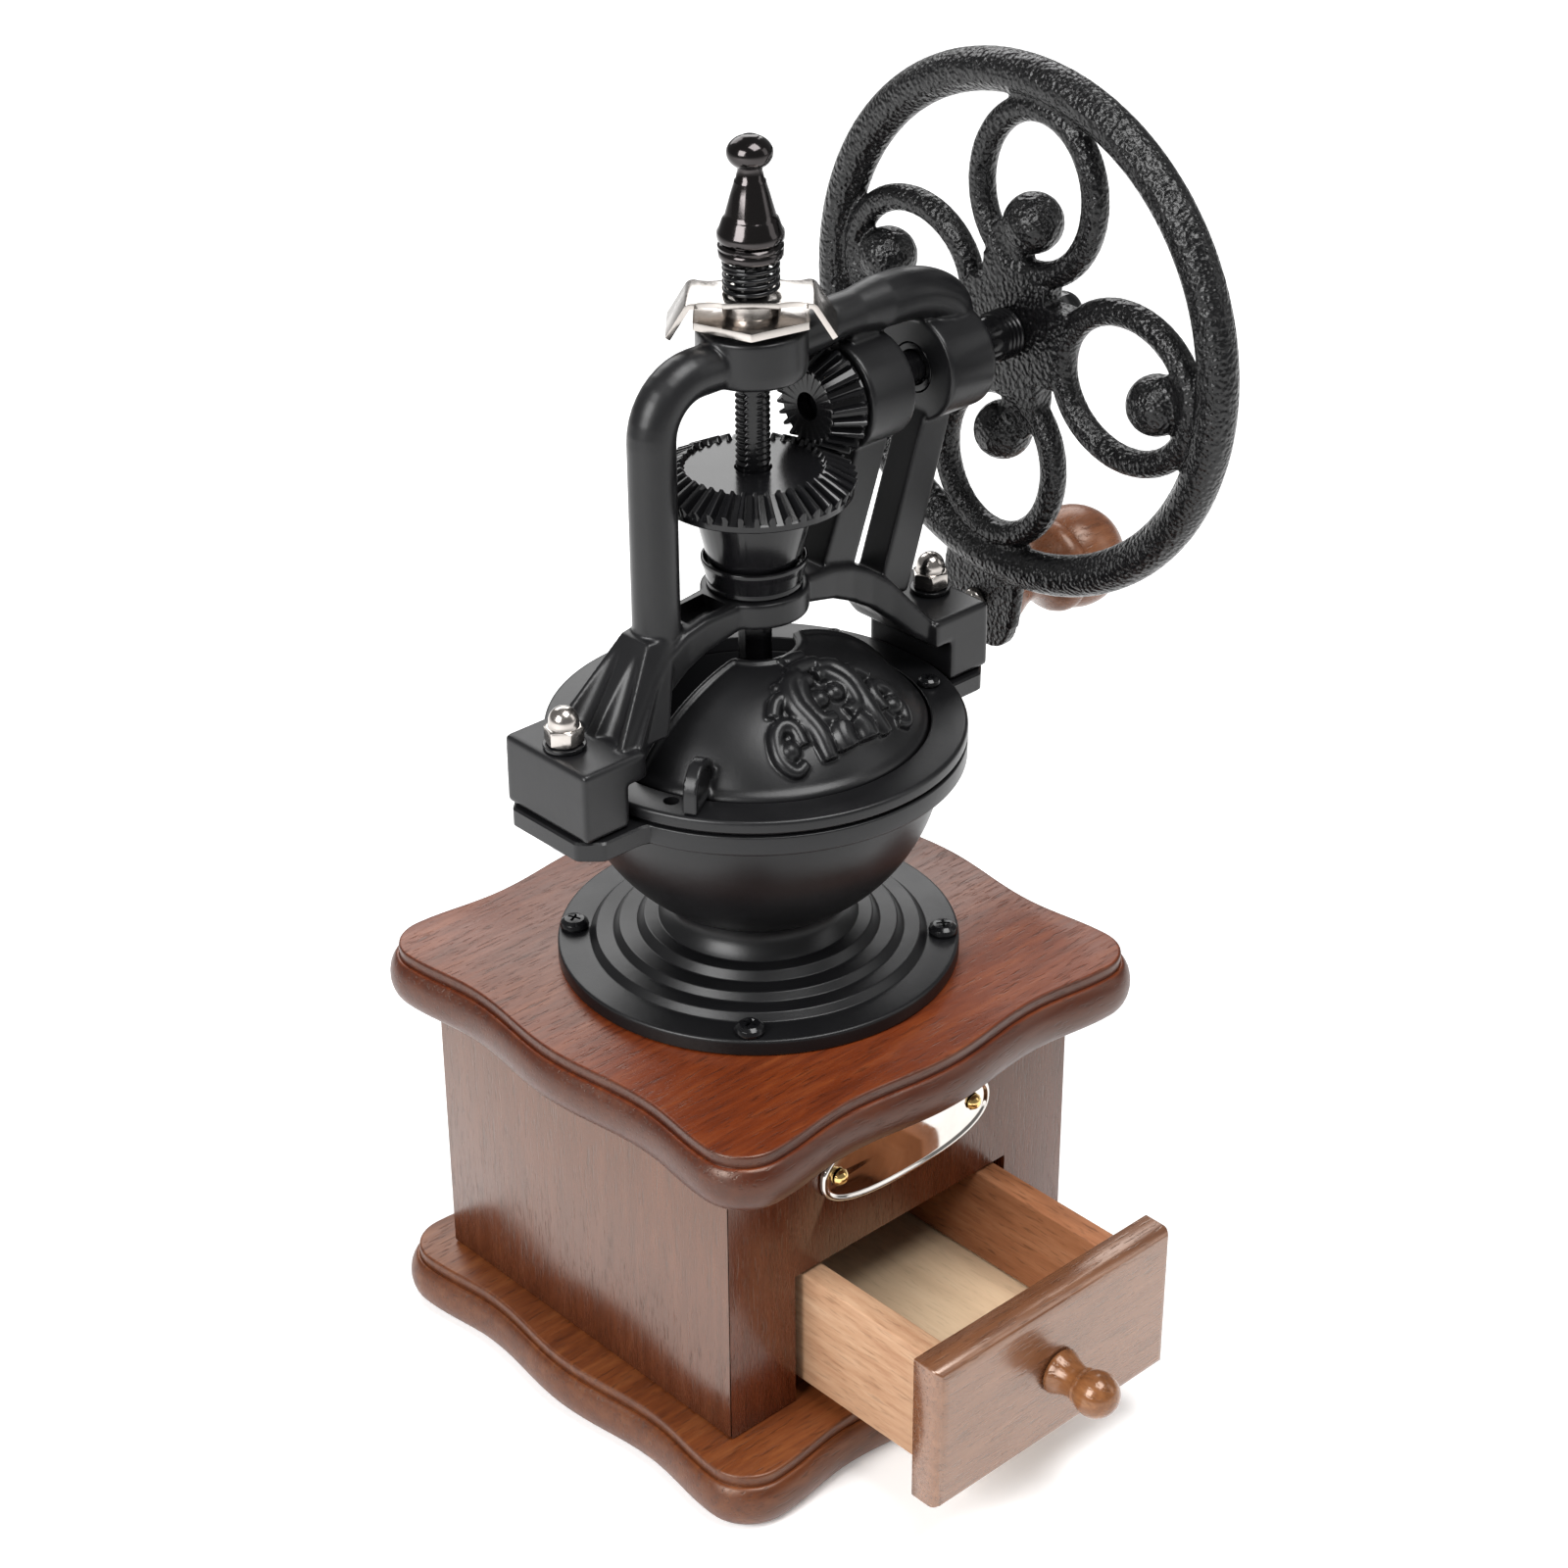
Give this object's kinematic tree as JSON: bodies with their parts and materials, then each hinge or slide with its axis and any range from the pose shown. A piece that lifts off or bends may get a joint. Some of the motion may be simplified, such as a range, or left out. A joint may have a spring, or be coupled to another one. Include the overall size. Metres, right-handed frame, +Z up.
{
  "type": "hand crank coffee grinder",
  "caption": "Box coffee mill with a cast hopper, turning dome hatch, bevel geared crank wheel, conical burrs and a drawer for the grounds.",
  "frame": {"origin": "on the grinding shaft axis at the underside of the base plate", "axes": "+Z up along the grinding shaft, -Y toward the drawer front, +X toward the crank wheel"},
  "size_m": [0.2052, 0.1924, 0.3153],
  "materials": {
    "dark_stained_wood": "glossy dark red-brown stain",
    "stained_wall_wood": "satin brown stain",
    "drawer_panel_wood": "satin medium brown stain",
    "raw_wood": "unfinished",
    "drawer_board": "unfinished board",
    "turned_knob_wood": "clear gloss lacquer",
    "satin_black_casting": "satin black powder coat",
    "hammered_black_casting": "glossy hammered black enamel",
    "gloss_black_metal": "gloss black",
    "gunmetal_plate": "black nickel plate",
    "nickel_plate": "polished nickel",
    "steel": "bright",
    "brass": "polished"
  },
  "bodies": {
    "grinder_body": {"base_plate": "dark_stained_wood", "top_plate": "dark_stained_wood", "box_front_wall": "stained_wall_wood", "box_back_wall": "stained_wall_wood", "box_right_wall": "stained_wall_wood", "box_left_wall": "stained_wall_wood", "left_runner": "raw_wood", "right_runner": "raw_wood", "name_plate": "nickel_plate", "name_plate_pin_left": "brass", "name_plate_pin_right": "brass", "hopper_bowl": "satin_black_casting", "flange_screw_front": "gloss_black_metal", "flange_screw_right": "gloss_black_metal", "flange_screw_rear": "gloss_black_metal", "flange_screw_left": "gloss_black_metal", "lid_ring": "satin_black_casting", "lid_screw_front_right": "gloss_black_metal", "lid_screw_rear_right": "gloss_black_metal", "lid_screw_rear_left": "gloss_black_metal", "frame_yoke": "satin_black_casting", "crank_bush_inner": "gloss_black_metal", "crank_bush_outer": "gloss_black_metal", "gear_thrust_ring": "gloss_black_metal", "frame_stud_left": "steel", "frame_stud_right": "steel", "stud_washer_left": "gloss_black_metal", "stud_washer_right": "gloss_black_metal", "cap_nut_left": "nickel_plate", "cap_nut_right": "nickel_plate", "outer_burr": "steel"},
    "drawer": {"drawer_front": "drawer_panel_wood", "drawer_left_side": "raw_wood", "drawer_right_side": "raw_wood", "drawer_back": "raw_wood", "drawer_bottom": "drawer_board", "drawer_knob": "turned_knob_wood", "drawer_knob_screw": "steel"},
    "hatch": {"dome_hatch": "satin_black_casting"},
    "shaft_assembly": {"grinding_shaft": "gloss_black_metal", "driven_gear": "gloss_black_metal", "inner_burr": "steel", "burr_washer": "steel", "burr_nut": "steel", "adjuster_washer": "gloss_black_metal", "lock_spring": "gloss_black_metal", "finial_nut": "gunmetal_plate"},
    "adjuster": {"adjuster_nut": "nickel_plate"},
    "lock": {"lock_plate": "nickel_plate"},
    "crank": {"crank_shaft": "gloss_black_metal", "drive_gear": "gloss_black_metal", "shaft_spacer": "gloss_black_metal", "crank_wheel": "hammered_black_casting", "wheel_washer": "gloss_black_metal", "wheel_nut": "gloss_black_metal", "knob_axle": "nickel_plate"},
    "knob": {"crank_knob": "turned_knob_wood"}
  },
  "joints": [
    {"name": "crank_spin", "type": "hinge", "parent": "grinder_body", "child": "crank", "pos_m": [0.087, 0, 0.247], "axis": [1, 0, 0], "continuous": true},
    {"name": "shaft_spin", "type": "hinge", "parent": "grinder_body", "child": "shaft_assembly", "pos_m": [0, 0, 0.2], "axis": [0, 0, 1], "continuous": true},
    {"name": "knob_spin", "type": "hinge", "parent": "crank", "child": "knob", "pos_m": [0.112, 0.01072, 0.17075], "axis": [1, 0, 0], "continuous": true},
    {"name": "drawer_slide", "type": "slide", "parent": "grinder_body", "child": "drawer", "axis": [0, -1, 0], "range_m": [-0.0436, 0.03]},
    {"name": "hatch_turn", "type": "hinge", "parent": "grinder_body", "child": "hatch", "pos_m": [0, 0, 0.172], "axis": [0, 0, 1], "range_deg": [-8, 112]},
    {"name": "adjuster_turn", "type": "hinge", "parent": "shaft_assembly", "child": "adjuster", "pos_m": [0, 0, 0.274], "axis": [0, 0, 1], "range_deg": [-90, 90]},
    {"name": "lock_lift", "type": "slide", "parent": "shaft_assembly", "child": "lock", "axis": [0, 0, 1], "range_m": [0, 0.0035], "stiffness_N_per_m": 300, "springref_m": -0.003, "deforming": ["lock_spring"]}
  ],
  "couplings": [
    {"joint": "shaft_spin", "follows": "crank_spin", "ratio": 0.55}
  ]
}
